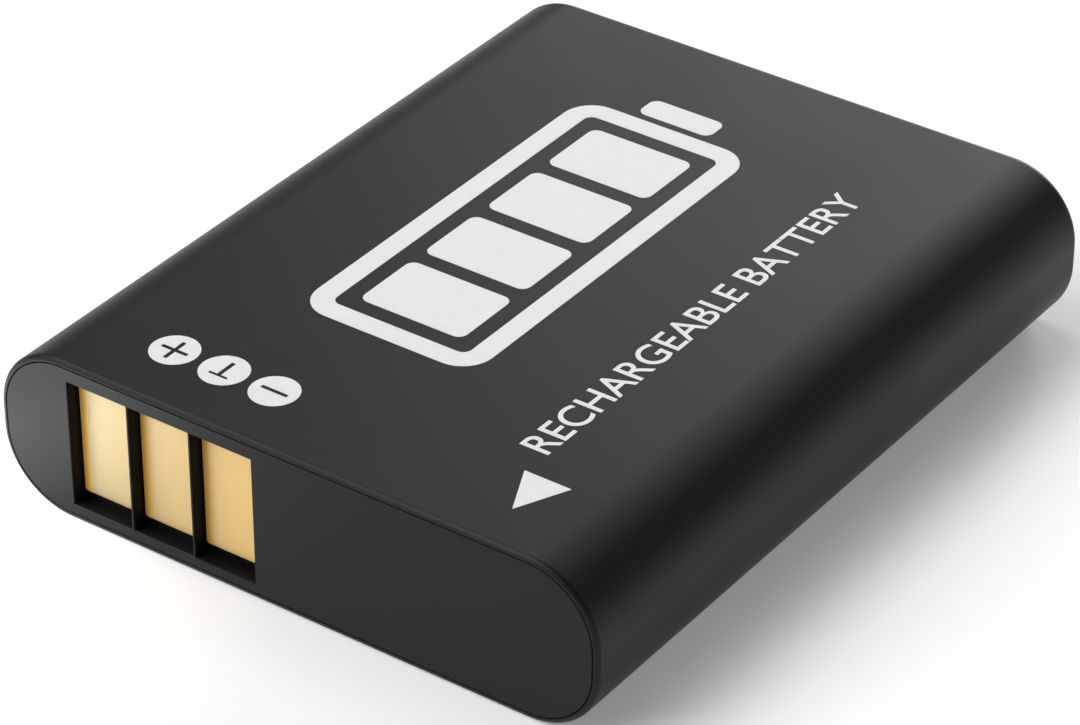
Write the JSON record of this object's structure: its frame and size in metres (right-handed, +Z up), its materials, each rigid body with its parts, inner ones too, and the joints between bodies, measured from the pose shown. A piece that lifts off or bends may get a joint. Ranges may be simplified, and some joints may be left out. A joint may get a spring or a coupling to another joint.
{
  "type": "camera battery",
  "caption": "Flat rechargeable camera battery: a black moulded case with round long edges and recessed gold contacts in windows at one end.",
  "frame": {"origin": "centre of the underside of the case, where the battery lies on a table", "axes": "+Z up out of the printed broad face, +Y along the length towards the closed end, so the contacts face -Y and lie on the -X half"},
  "size_m": [0.0348, 0.0424, 0.009],
  "materials": {
    "case_plastic": "satin moulded, printed on top",
    "cap_plastic": "satin moulded",
    "contact_gold": "gold plated",
    "board_laminate": "black solder mask",
    "chip_resin": "moulded resin",
    "component_ceramic": "fired ceramic",
    "strip_nickel": "rolled nickel",
    "gasket_plastic": "moulded",
    "can_aluminium": "deep drawn",
    "insulating_paper": "pressed paper",
    "film_plastic": "thin polyester film",
    "tape_adhesive": "tacky",
    "pad_foam": "closed-cell foam"
  },
  "bodies": {
    "root": {"case_body": "case_plastic", "terminal_cap": "cap_plastic", "contact_positive": "contact_gold", "contact_sense": "contact_gold", "contact_negative": "contact_gold", "circuit_board": "board_laminate", "protection_chip": "chip_resin", "switch_chip": "chip_resin", "thermistor": "component_ceramic", "board_resistors": "component_ceramic", "board_capacitor": "component_ceramic", "board_plate_positive": "strip_nickel", "board_plate_negative": "strip_nickel", "positive_strip": "strip_nickel", "negative_strip": "strip_nickel", "clad_tab": "strip_nickel", "terminal_rivet": "strip_nickel", "terminal_gasket": "gasket_plastic", "cell_can": "can_aluminium", "fill_plug": "can_aluminium", "header_sheet": "insulating_paper", "cell_film": "film_plastic", "adhesive_sheet": "tape_adhesive", "end_pad": "pad_foam"}
  },
  "joints": []
}
